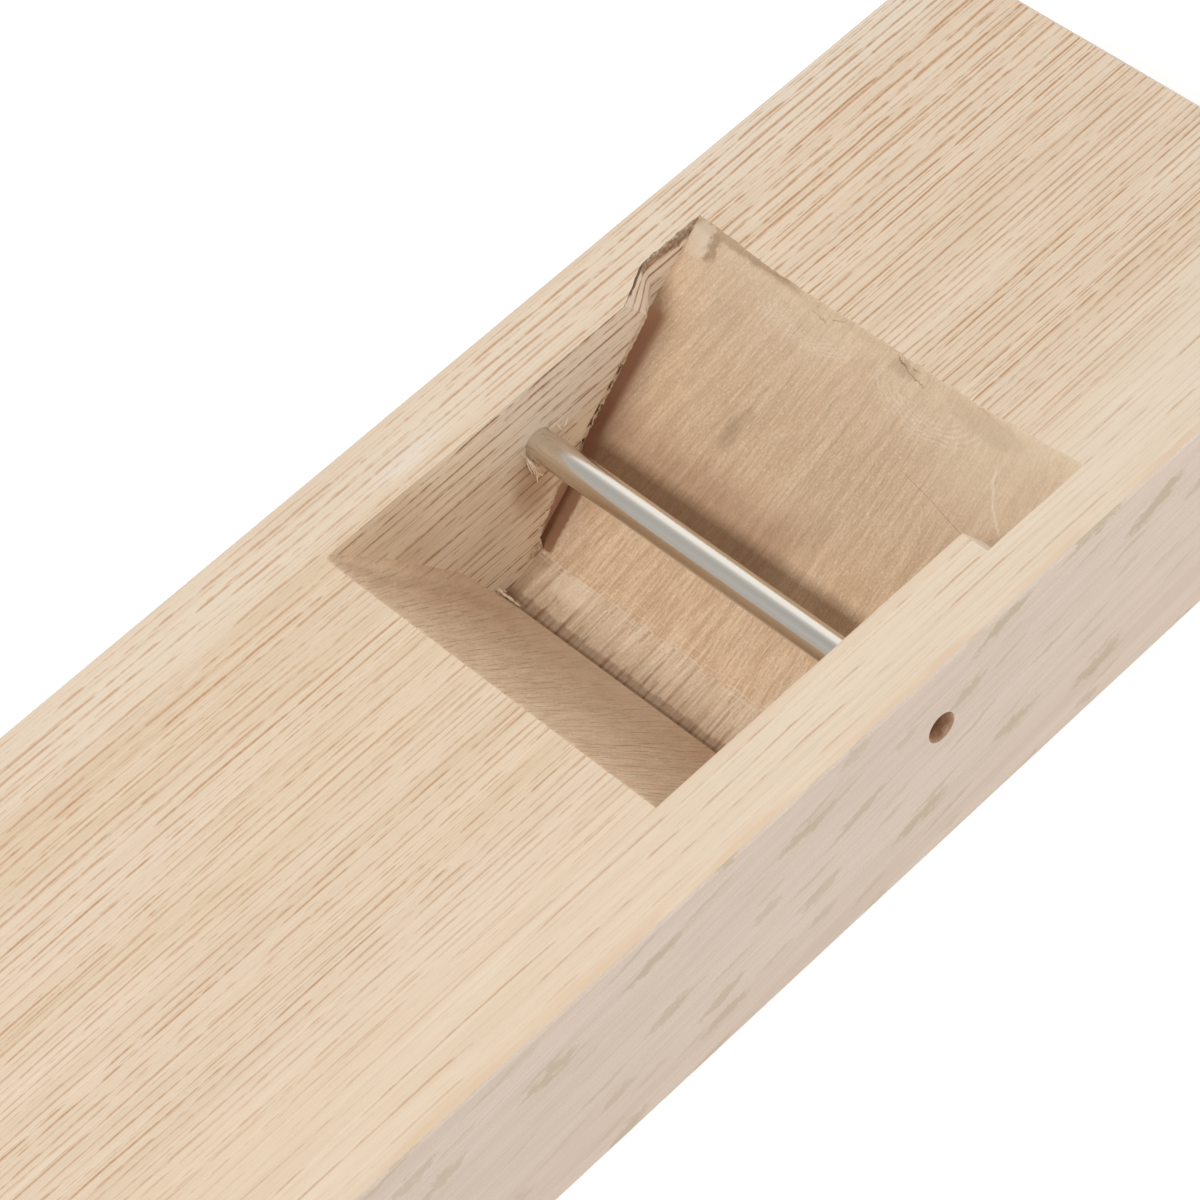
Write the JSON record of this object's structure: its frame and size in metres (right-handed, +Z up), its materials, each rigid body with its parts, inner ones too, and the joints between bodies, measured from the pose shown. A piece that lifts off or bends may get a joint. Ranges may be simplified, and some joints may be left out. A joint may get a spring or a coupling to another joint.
{
  "type": "japanese smoothing plane body",
  "caption": "Pull plane's oak block with a sloping throat, tapered side grooves for the blade, a fine mouth in the sole and a steel cross pin, shown with its irons taken out.",
  "frame": {"origin": "middle of the sole", "axes": "+X to the head end, +Y across the block to the side away from the viewer, +Z up from the sole"},
  "size_m": [0.275, 0.08, 0.031],
  "materials": {
    "oak": "planed, unfinished",
    "steel": "ground"
  },
  "bodies": {
    "block": {"plane_body": "oak"},
    "pin": {"cross_pin": "steel"}
  },
  "joints": [
    {"name": "pin_drift", "type": "slide", "parent": "block", "child": "pin", "axis": [0, -1, 0], "range_m": [-0.07, 0.07]}
  ]
}
